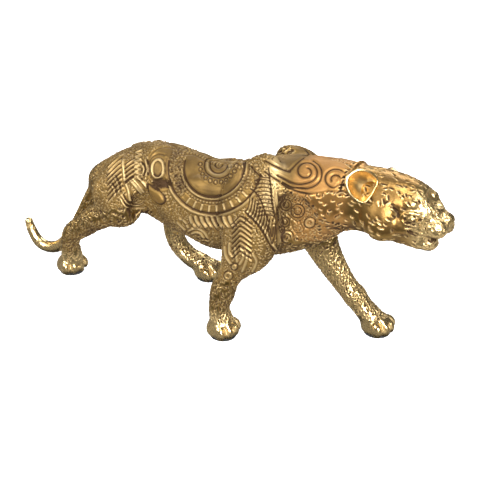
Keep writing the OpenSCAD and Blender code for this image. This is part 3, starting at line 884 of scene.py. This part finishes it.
def add_fur(skin, zone, busy, rng, depth):
    p = skin.points
    cells = Cells(p, 1.6)
    flow = fur_flow(p)
    bare = (zone < 0.3) & (p[:, 2] > PAD_TOP + 1.5)
    head = (p[:, 0] > NECK_X - 1) & (p[:, 2] > 40)
    face = head & (p[:, 0] > 93)
    neck = (p[:, 0] > 38) & ~head & (p[:, 2] > 42)
    legs = (p[:, 2] < 36) & (p[:, 2] > 8) & (p[:, 0] > -78)
    tail = (p[:, 0] < -58) & (p[:, 1] > -9) & (p[:, 2] > 12) & ~legs
    other = bare & ~head & ~neck & ~legs & ~tail & (p[:, 2] > 20)
    amount = np.zeros(len(p))
    for choose, spacing, length, width, deep, dark, spread in (
        (bare & head & ~face, 3.5, 2.4, 0.32, 0.5, 1.0, 26),
        (face & bare, 2.0, 1.5, 0.24, 0.26, 0.8, 30),
        (bare & neck, 2.6, 1.9, 0.32, 0.5, 1.0, 40),
        (bare & legs, 1.6, 1.6, 0.28, 0.38, 1.0, 26),
        (tail, 2.0, 1.5, 0.3, 0.28, 0.7, 20),
        (other, 2.1, 1.9, 0.34, 0.48, 1.0, 26),
        ((zone > 0.4) & (busy < 0.12), 1.3, 1.0, 0.26, 0.3, 0.9, 50),
    ):
        places = scattered(p, choose, spacing, rng)
        amount += lay_fur(skin, cells, places, flow, rng, length, width, deep * depth, dark, spread)
    return amount


# how far out the clay is felt for, to tell a hollow, and the size of a pupil
HOLLOW_REACH = 2.4
PUPIL = (0.45, 0.75)


def tint(skin, clay, zone):
    """Patina in the hollows, painted shade under, behind and in the creases, painted highlights on the paws,
    tail tip, muzzle, far legs and near shoulder crest, and the warmer neck.
    """
    p, n = skin.points, skin.normals
    # painted shade: darker where the surface faces down, and where it faces back, clear of the tail and the
    # paws
    below = ramp(-n[:, 2], -0.05, 0.7) * ramp(p[:, 2], 8, 14)
    behind = ramp(-n[:, 0], 0.35, 0.95) * ramp(p[:, 2], 8, 20) * ramp(p[:, 0], -58, -50)
    # darker in hollows, by how closely the clay closes round each point, faded out at the paws: patina in the
    # hollows, and painted shade in the creases
    above_feet = 0.45 * ramp(p[:, 2], 2, 4) + 0.65 * ramp(p[:, 2], 9, 13)
    closed = ramp(1 - clay.sample(p + HOLLOW_REACH * n) / HOLLOW_REACH, 0.12, 0.62) * above_feet
    film = 0.34 * zone + 0.12 * (p[:, 0] < NECK_X)
    skin.recess = np.maximum.reduce([skin.recess, 0.8 * below, 0.5 * behind, closed, film])
    for side in (-1, 1):
        eye = np.array(HEAD_AXIS) + about_x(-HEAD_TILT) @ (np.array(EYE) * (1, -side, 1) - HEAD_AXIS)
        gaze = unit((0.62, math.copysign(0.78, eye[1]), 0.1))
        away = p - eye
        apart = np.linalg.norm(away - (away @ gaze)[:, None] * gaze, axis=1)
        pupil = (away @ gaze > 0.8) * (np.linalg.norm(away, axis=1) < 4) * (1 - ramp(apart, *PUPIL))
        skin.recess = np.maximum(skin.recess, 1.2 * pupil)
    # painted highlights: paler paws, tail tip, muzzle, far legs and the crest of the near shoulder blade
    paws = 1 - ramp(p[:, 2], 9, 15)
    tail_tip = ramp(-p[:, 0], 84, 92)
    muzzle = ramp(p[:, 0], 88, 95)
    far_legs = ramp(p[:, 1], 6, 10) * (1 - ramp(p[:, 2], 28, 40))
    crest = np.exp(-((p[:, 0] - 36 + 0.12 * (p[:, 2] - 70)) / 2.6) ** 2)
    crest = crest * ramp(p[:, 2], 58, 66) * ramp(-p[:, 1], 5, 8)
    painted_highlights = [0.9 * paws, 0.9 * tail_tip, 0.85 * muzzle, 0.6 * far_legs, 0.9 * crest]
    skin.polish = np.maximum.reduce([skin.polish, *painted_highlights])
    neck = ramp(p[:, 0], 40, 47) * (1 - ramp(p[:, 0], 64, 69)) * (p[:, 2] > 48)
    crown = ramp(p[:, 0], 66, 72) * (1 - ramp(p[:, 0], 86, 92)) * (p[:, 2] > 62)
    skin.warmth = np.maximum(neck, 0.3 * crown)


# ---------------------------------------------------------------------------------------------
# Pieces
# ---------------------------------------------------------------------------------------------


def casting_of(clay, skin):
    """Which casting each face belongs to."""
    middle = skin.points[skin.faces].mean(1)
    names = ["body_casting", "tail_casting", *LEGS, "head_casting"]
    apart = [clay.own_distance("body", middle), clay.own_distance("tail", middle)]
    apart += [clay.own_distance(leg, middle) for leg in LEGS]
    label = np.argmin(np.array(apart), axis=0)
    for k, leg in enumerate(LEGS):
        x, y = PAWS[leg]
        label[(middle[:, 2] < 12) & (np.hypot(middle[:, 0] - x, middle[:, 1] - y) < 11)] = 2 + k
    label[(middle[:, 0] > NECK_X) & (middle[:, 2] > 40)] = len(names) - 1
    return names, label


def edge_loops(faces):
    """The open edges of some faces, as closed rings of points."""
    a = faces.ravel()
    b = np.roll(faces, -1, axis=1).ravel()
    here = set(zip(a.tolist(), b.tolist()))
    follow = {}
    for i, j in here:
        if (j, i) not in here:
            follow.setdefault(j, []).append(i)
    rings = []
    while follow:
        start = next(iter(follow))
        ring = [start]
        while True:
            step = follow[ring[-1]].pop()
            if not follow[ring[-1]]:
                del follow[ring[-1]]
            if step == start:
                break
            ring.append(step)
            if step not in follow:
                break
        rings.append(ring)
    return rings


def make_object(name, points, faces, material, normals=None):
    mesh = bpy.data.meshes.new(name)
    mesh.from_pydata(np.asarray(points, float).tolist(), [], faces)
    mesh.shade_smooth()
    if normals is not None:
        mesh.normals_split_custom_set_from_vertices(normals.tolist())
    mesh.materials.append(material)
    obj = bpy.data.objects.new(name, mesh)
    bpy.context.scene.collection.objects.link(obj)
    return obj


def paint(obj, **layers):
    for name, values in layers.items():
        layer = obj.data.attributes.new(name, "FLOAT", "POINT")
        layer.data.foreach_set("value", np.asarray(values, np.float32))


def cut_piece(name, skin, faces, material):
    """One casting's share of the skin, closed behind its joints."""
    used, inner = np.unique(faces, return_inverse=True)
    inner = inner.reshape(faces.shape)
    points, normals = skin.points[used], skin.normals[used]
    extra, caps = [], []
    centre = points.mean(0)
    for ring in edge_loops(inner):
        if len(ring) < 3:
            continue
        middle = points[ring].mean(0)
        hub = len(points) + len(extra)
        extra.append(middle + 0.06 * (centre - middle))
        caps += [(ring[k], ring[(k + 1) % len(ring)], hub) for k in range(len(ring))]
    if extra:
        points = np.vstack([points, extra])
        normals = np.vstack([normals, np.tile((0.0, 0.0, 1.0), (len(extra), 1))])
    obj = make_object(name, points * MM, inner.tolist() + caps, material, normals)
    pad = np.zeros(len(extra))
    # the layers carry patina with painted shade, polish with painted highlights, and warmth
    paint(obj, recess=np.append(skin.recess[used], pad), polish=np.append(skin.polish[used], pad),
          warmth=np.append(skin.warmth[used], pad))
    return obj


# how far the ear stands from the axis that the head tilts about
EAR_REACH = 16
EAR_SPREAD = 57
EAR_FACING = (0.55, 73)
LEFT_EAR_LAY = 20
# rings of points in the cup, over the rolled rim and down the back
EAR_RINGS = (14, 8, 12)
# the rim as the cup is looked into: ahead, up
EAR_RIM = [
    (-4.2, 4.6), (-1.6, 5.8), (1.2, 5.5), (3.8, 4.1), (5.7, 1.6), (4.4, -1.4), (2.8, -3.8), (0.3, -6.0),
    (-2.4, -4.9), (-4.7, -2.6), (-5.9, 0.6), (-5.6, 3.0),
]


def ear_skin(side):
    """A cupped leaf with a rolled rim: points, faces, depth in the cup, and places before it is turned."""
    rim = np.array(EAR_RIM)
    count = 8
    outline = np.array([
        through(rim[i - 1], rim[i], rim[(i + 1) % len(rim)], rim[(i + 2) % len(rim)], k / count)
        for i in range(len(rim)) for k in range(count)
    ])
    sides = len(outline)
    hub = np.array((1.3, -0.4))
    rows = []
    for share in np.linspace(0.06, 0.94, EAR_RINGS[0]):
        flat = hub + (outline - hub) * share
        rows.append(np.column_stack([flat, np.full(sides, -4.0 * (1 - share ** 2.4))]))
    for turn in np.radians(np.linspace(150, -60, EAR_RINGS[1])):
        flat = hub + (outline - hub) * (1 + 0.1 * math.cos(turn))
        rows.append(np.column_stack([flat, np.full(sides, 0.62 * math.sin(turn) + 0.1)]))
    for share in np.linspace(0.98, 0.06, EAR_RINGS[2]):
        flat = hub + (outline - hub) * share
        rows.append(np.column_stack([flat, np.full(sides, -0.9 - 5.4 * (1 - share ** 2.6))]))
    # the rim dips where the leaf meets the skull
    grid = np.array(rows)
    grid[:, :, 2] += 0.5 - 0.13 * np.maximum(grid[:, :, 0], 0) ** 1.3 - 0.1 * np.maximum(-grid[:, :, 1] - 2, 0)
    tips = np.array([(*hub, grid[0, 0, 2]), (*hub, grid[-1, 0, 2])])
    local = np.vstack([grid.reshape(-1, 3), tips])
    ahead, degrees = EAR_FACING
    out = math.sqrt(1 - ahead * ahead)
    turn = math.radians(degrees)
    n = np.array((ahead, -out * math.sin(turn), out * math.cos(turn)))
    across = unit(np.cross(about_x(HEAD_TILT) @ np.array((0.0, 0.0, 1.0)), n))
    up = np.cross(n, across)
    spread = math.radians(EAR_SPREAD)
    middle = np.array(HEAD_AXIS) + EAR_REACH * np.array((0, -math.sin(spread), math.cos(spread)))
    points = middle + local[:, :1] * across + local[:, 1:2] * up + local[:, 2:] * n
    faces = []
    for i in range(len(rows) - 1):
        for k in range(sides):
            a, b = i * sides + k, i * sides + (k + 1) % sides
            faces.append((a, b, b + sides, a + sides))
    first, last = len(rows) * sides, (len(rows) - 1) * sides
    faces += [(first, (k + 1) % sides, k) for k in range(sides)]
    faces += [(first + 1, last + k, last + (k + 1) % sides) for k in range(sides)]
    if side > 0:
        points = points * (1, -1, 1)
    else:
        faces = [f[::-1] for f in faces]
    pivot = np.array(HEAD_AXIS)
    points = pivot + (points - pivot) @ about_x(-HEAD_TILT - (LEFT_EAR_LAY if side > 0 else 0)).T
    cup, roll, back = EAR_RINGS
    depth = np.repeat([1.0] * cup + [0.0] * (roll + back), sides) * ramp(-local[:-2, 2], 0.4, 3.8)
    return points, faces, np.append(depth, (1, 0)), local


# ---------------------------------------------------------------------------------------------
# Materials
# ---------------------------------------------------------------------------------------------


class Value:
    """A shader socket that Python arithmetic works on."""

    def __init__(self, nodes, socket):
        self.nodes = nodes
        self.socket = socket

    def math(self, kind, *others, clamp=False):
        return self.nodes.add("ShaderNodeMath", {"operation": kind, "use_clamp": clamp}, [self, *others])

    def __add__(self, other):
        return self.math("ADD", other)

    def __sub__(self, other):
        return self.math("SUBTRACT", other)

    def __mul__(self, other):
        return self.math("MULTIPLY", other)

    def __rsub__(self, other):
        return (self * -1) + other

    __radd__ = __add__

    def between(self, low, high):
        """0 at low, 1 at high, clamped."""
        return ((self - low) * (1 / (high - low))).math("ADD", 0.0, clamp=True)


class Nodes:
    """A material's node tree."""

    def __init__(self, name):
        self.material = bpy.data.materials.new(name)
        self.material.use_nodes = True
        self.tree = self.material.node_tree
        self.shader = self.tree.nodes["Principled BSDF"]

    def put(self, socket, value):
        if isinstance(value, Value):
            self.tree.links.new(value.socket, socket)
        else:
            socket.default_value = value

    def add(self, kind, settings=None, values=(), output=0):
        node = self.tree.nodes.new(kind)
        for key, value in (settings or {}).items():
            setattr(node, key, value)
        pairs = values.items() if isinstance(values, dict) else enumerate(values)
        for key, value in pairs:
            self.put(node.inputs[key], value)
        return Value(self, node.outputs[output])

    def layer(self, name):
        return self.add("ShaderNodeAttribute", {"attribute_name": name}, output="Fac")

    def noise(self, scale, detail=3.0, rough=0.5):
        place = self.add("ShaderNodeTexCoord", output="Object")
        return self.add("ShaderNodeTexNoise", values={"Vector": place, "Scale": scale, "Detail": detail,
                                                       "Roughness": rough}, output="Fac")

    def mix(self, share, a, b):
        """Colour a where share is 0, b where it is 1."""
        node = self.tree.nodes.new("ShaderNodeMix")
        node.data_type = "RGBA"
        self.put(node.inputs[0], share)
        self.put(node.inputs[6], a)
        self.put(node.inputs[7], b)
        return Value(self, node.outputs[2])

    def bump(self, height, distance, strength=1.0, below=None):
        values = {"Height": height, "Distance": distance, "Strength": strength}
        if below:
            values["Normal"] = below
        return self.add("ShaderNodeBump", values=values)


def antique_gold(looks):
    m = Nodes("antique_gold")
    recess, polish, warmth = m.layer("recess"), m.layer("polish"), m.layer("warmth")
    cloud = m.noise(90, 4, 0.6)
    grain = m.noise(1500, 2, 0.6)
    dull = m.mix(cloud.between(0.35, 0.7), looks.gold, looks.olive)
    warm = m.mix(warmth, dull, looks.orange)
    # the polish layer pulls the colour pale, as polish on the relief and as painted highlights; the darkening
    # layer pulls it to the patina colour, as patina in grooves and hollows and as painted shade
    pale = m.mix(polish, warm, looks.pale)
    dark = (recess + (cloud - 0.5) * 0.35).between(0.12, 0.85)
    m.put(m.shader.inputs["Base Color"], m.mix(dark, pale, looks.patina_and_shade_colour))
    m.put(m.shader.inputs["Metallic"], 1 - dark * 0.75)
    m.shader.inputs["Specular IOR Level"].default_value = 0.15
    m.put(m.shader.inputs["Roughness"], (0.36 + dark * 0.3) - polish * 0.1 + (grain - 0.5) * 0.12)
    fine = m.bump(grain, 0.00006, 0.7)
    m.put(m.shader.inputs["Normal"], m.bump(m.noise(420, 2, 0.5), 0.00014, 0.8, fine))
    return m.material


def darker(colour, share):
    return [share * c for c in colour[:3]] + [1]


def plain_metal(name, colour, roughness):
    m = Nodes(name)
    scratch = m.noise(900, 3, 0.6)
    m.put(m.shader.inputs["Base Color"], m.mix(scratch.between(0.3, 0.8), colour, darker(colour, 0.8)))
    m.shader.inputs["Metallic"].default_value = 1.0
    m.put(m.shader.inputs["Roughness"], roughness + (scratch - 0.5) * 0.1)
    return m.material


def rubber(name, colour):
    m = Nodes(name)
    grain = m.noise(1200, 2, 0.5)
    m.put(m.shader.inputs["Base Color"], m.mix(grain, colour, darker(colour, 0.6)))
    m.shader.inputs["Roughness"].default_value = 0.75
    m.put(m.shader.inputs["Normal"], m.bump(grain, 0.00005, 0.5))
    return m.material


# ---------------------------------------------------------------------------------------------
# The add-on
# ---------------------------------------------------------------------------------------------

made = {}


def colour_property(name, description, colour):
    """A colour that the panel shows."""
    return bpy.props.FloatVectorProperty(
        name=name, description=description, subtype="COLOR", size=4, default=(*colour, 1))


class MascotLooks(bpy.types.PropertyGroup):
    """What can be changed about the figure's finish."""

    clay_step: bpy.props.FloatProperty(
        name="Clay step", description="Spacing of the clay's grid in millimetres",
        default=0.6, min=0.45, max=1.5)
    relief: bpy.props.FloatProperty(
        name="Relief", description="Depth of the engraving and fur against the standard",
        default=1.0, min=0, max=2)
    gold: colour_property("Gold", "Colour of the worn metal", (0.37, 0.225, 0.065))
    olive: colour_property("Dull gold", "Colour where the metal has dulled", (0.19, 0.12, 0.04))
    orange: colour_property("Warm gold", "Colour of the neck and crown", (0.54, 0.28, 0.085))
    # the polished gold is also the colour of the painted highlights
    pale: colour_property("Polished gold", "Colour of the rubbed high spots", (0.92, 0.67, 0.31))
    # the patina colour is also the colour of the painted shade
    patina_and_shade_colour: colour_property("Patina", "Colour in the recesses", (0.04, 0.02, 0.007))
    floor: colour_property("Floor", "Colour of the stage floor", (0.9, 0.9, 0.9))


class MASCOT_OT_skin(bpy.types.Operator):
    """Sculpt the figure, engrave it and lay its fur"""

    bl_idname = "mascot.skin"
    bl_label = "Sculpt skin"

    def execute(self, context):
        looks = context.scene.mascot
        rng = np.random.default_rng(7)
        clay = sculpt(looks.clay_step)
        skin = Skin(*divided(*clay.mesh(), 1))
        amount, zone, busy = engrave(skin, rng, looks.relief)
        amount += add_fur(skin, zone, busy, rng, looks.relief)
        skin.push(amount)
        tint(skin, clay, zone)
        made["clay"], made["skin"], made["gold"] = clay, skin, antique_gold(looks)
        return {"FINISHED"}


class MASCOT_OT_castings(bpy.types.Operator):
    """Cut the skin into one closed piece for each casting"""

    bl_idname = "mascot.castings"
    bl_label = "Cut castings"

    def execute(self, context):
        skin = made["skin"]
        names, label = casting_of(made["clay"], skin)
        for k, name in enumerate(names):
            piece = cut_piece(name + "_skin", skin, skin.faces[label == k], made["gold"])
            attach(piece, "root")
            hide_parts(name)
        return {"FINISHED"}


class MASCOT_OT_ears(bpy.types.Operator):
    """Build the two cupped ears"""

    bl_idname = "mascot.ears"
    bl_label = "Build ears"

    def execute(self, context):
        for side, name in ((-1, "right_ear"), (1, "left_ear")):
            points, faces, inside, local = ear_skin(side)
            piece = make_object(name + "_leaf", points * MM, faces, made["gold"])
            # the leaf is pale, with painted shade where it lies deep and painted shadow in the cup towards one
            # side of it
            low = ramp(-local[:, 2], 1.0, 5.0)
            shaded_hollow = 0.7 * inside * ramp(local[:, 0], 1, 4.5)
            paint(piece, recess=shaded_hollow, polish=0.7 - 0.1 * inside - 0.3 * low, warmth=0.1 * inside)
            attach(piece, "root")
            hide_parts(name)
        return {"FINISHED"}


class MASCOT_OT_hardware(bpy.types.Operator):
    """Finish the pegs, pins, plugs, inserts and pads"""

    bl_idname = "mascot.hardware"
    bl_label = "Finish hardware"

    def execute(self, context):
        steel = plain_metal("turned_steel", [0.55, 0.56, 0.58, 1], 0.35)
        brass = plain_metal("turned_brass", [0.72, 0.52, 0.2, 1], 0.32)
        black = rubber("pad_rubber", [0.02, 0.02, 0.02, 1])
        finish = dict.fromkeys(("leg_pegs", "neck_pin", "tail_pin"), steel)
        finish.update(dict.fromkeys(("core_plugs", "paw_inserts"), brass))
        finish.update({n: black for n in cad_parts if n.endswith("_pad")})
        for name, material in finish.items():
            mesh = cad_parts[name].data
            mesh.materials.clear()
            mesh.materials.append(material)
        return {"FINISHED"}


def backdrop(radius, height, sides=64):
    """A plain white wall all round, that the metal doesn't mirror."""
    turn = [2 * math.pi * k / sides for k in range(sides)]
    points = [(radius * math.cos(t), radius * math.sin(t), z) for z in (0, height) for t in turn]
    faces = [(k, (k + 1) % sides, sides + (k + 1) % sides, sides + k) for k in range(sides)]
    m = Nodes("backdrop")
    m.shader.inputs["Base Color"].default_value = (0, 0, 0, 1)
    m.shader.inputs["Roughness"].default_value = 1
    m.shader.inputs["Emission Color"].default_value = (1, 1, 1, 1)
    m.shader.inputs["Emission Strength"].default_value = 1
    wall = make_object("backdrop", points, faces, m.material)
    wall.visible_glossy = wall.visible_diffuse = wall.visible_shadow = False


FLOOR_HALF = 7.0
WALL_RADIUS, WALL_HEIGHT = 6.5, 4
CAMERA_PLACE = (0.2123, -0.3317, 0.24035)
# how steeply the camera looks down, from straight down, and how far round it stands
CAMERA_PITCH, CAMERA_YAW = 62, 31
# how bright the room is from straight below, 0, to straight above, 1
ROOM = ((0.0, 0.04), (0.12, 0.07), (0.24, 0.28), (0.4, 0.28), (0.52, 0.13), (0.7, 0.1), (1.0, 0.14))


def soft_light(name, place, aim, size, power):
    lamp = bpy.data.lights.new(name, "AREA")
    lamp.shape = "RECTANGLE"
    lamp.size, lamp.size_y = size
    lamp.energy = power
    obj = bpy.data.objects.new(name, lamp)
    bpy.context.scene.collection.objects.link(obj)
    obj.location = place
    way = np.array(aim, float) - np.array(place, float)
    flat = math.hypot(way[0], way[1])
    obj.rotation_euler = (math.atan2(flat, -way[2]), 0, math.atan2(way[1], way[0]) - math.pi / 2)
    return obj


def light_room(tree):
    """A room whose walls are dim and whose table top glows, darkest straight below."""
    place = tree.nodes.new("ShaderNodeTexCoord")
    apart = tree.nodes.new("ShaderNodeSeparateXYZ")
    shades = tree.nodes.new("ShaderNodeValToRGB")
    half = tree.nodes.new("ShaderNodeMath")
    half.operation = "MULTIPLY_ADD"
    half.inputs[1].default_value = half.inputs[2].default_value = 0.5
    tree.links.new(place.outputs["Generated"], apart.inputs[0])
    tree.links.new(apart.outputs["Z"], half.inputs[0])
    tree.links.new(half.outputs[0], shades.inputs[0])
    marks = shades.color_ramp.elements
    for at, shade in ROOM[1:-1]:
        marks.new(at).color = (shade, shade, shade, 1)
    for mark, (at, shade) in ((marks[0], ROOM[0]), (marks[-1], ROOM[-1])):
        mark.position = at
        mark.color = (shade, shade, shade, 1)
    tree.links.new(shades.outputs[0], tree.nodes["Background"].inputs[0])


class MASCOT_OT_stage(bpy.types.Operator):
    """Lay the floor, hang the lights and place the camera"""

    bl_idname = "mascot.stage"
    bl_label = "Set stage"

    def execute(self, context):
        scene = context.scene
        camera = bpy.data.cameras.new("camera")
        camera.lens = 78.75
        camera.sensor_width = 36
        camera.clip_start = 0.01
        view = bpy.data.objects.new("camera", camera)
        scene.collection.objects.link(view)
        view.location = CAMERA_PLACE
        view.rotation_euler = (math.radians(CAMERA_PITCH), 0, math.radians(CAMERA_YAW))
        scene.camera = view
        world = bpy.data.worlds.new("studio")
        scene.world = world
        world.use_nodes = True
        light_room(world.node_tree)
        scene.view_settings.view_transform = "Standard"
        corners = [(x * FLOOR_HALF, y * FLOOR_HALF, 0) for x, y in ((-1, -1), (1, -1), (1, 1), (-1, 1))]
        mesh = bpy.data.meshes.new("floor")
        mesh.from_pydata(corners, [], [(0, 1, 2, 3)])
        m = Nodes("floor")
        m.shader.inputs["Base Color"].default_value = scene.mascot.floor
        m.shader.inputs["Roughness"].default_value = 0.9
        m.shader.inputs["Emission Color"].default_value = (1, 1, 1, 1)
        m.shader.inputs["Emission Strength"].default_value = 0.7
        mesh.materials.append(m.material)
        floor = bpy.data.objects.new("floor", mesh)
        scene.collection.objects.link(floor)
        floor.visible_glossy = False
        backdrop(WALL_RADIUS, WALL_HEIGHT)
        for light in (
            soft_light("key", (0.5, -0.65, 0.55), (0.02, 0, 0.04), (0.7, 0.4), 20),
            soft_light("fill", (-0.55, -0.5, 0.5), (0, 0, 0.05), (0.3, 0.5), 6),
            soft_light("back", (-0.3, 0.7, 0.6), (0, 0, 0.05), (0.8, 0.15), 4),
            soft_light("top", (0.1, -0.1, 1.1), (0, 0, 0), (0.35, 0.35), 4.5),
        ):
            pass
        return {"FINISHED"}


class MASCOT_PT_panel(bpy.types.Panel):
    bl_label = "Leopard mascot"
    bl_idname = "MASCOT_PT_panel"
    bl_space_type = "VIEW_3D"
    bl_region_type = "UI"
    bl_category = "Mascot"

    def draw(self, context):
        for name in MascotLooks.__annotations__:
            self.layout.prop(context.scene.mascot, name)
        for step in STEPS:
            self.layout.operator(step.bl_idname)


STEPS = (MASCOT_OT_skin, MASCOT_OT_castings, MASCOT_OT_ears, MASCOT_OT_hardware, MASCOT_OT_stage)
CLASSES = (MascotLooks, *STEPS, MASCOT_PT_panel)


def register():
    for c in CLASSES:
        bpy.utils.register_class(c)
    bpy.types.Scene.mascot = bpy.props.PointerProperty(type=MascotLooks)


def unregister():
    del bpy.types.Scene.mascot
    for c in reversed(CLASSES):
        bpy.utils.unregister_class(c)


def main():
    register()
    for step in STEPS:
        group, name = step.bl_idname.split(".")
        getattr(getattr(bpy.ops, group), name)()


if __name__ == "__main__":
    main()
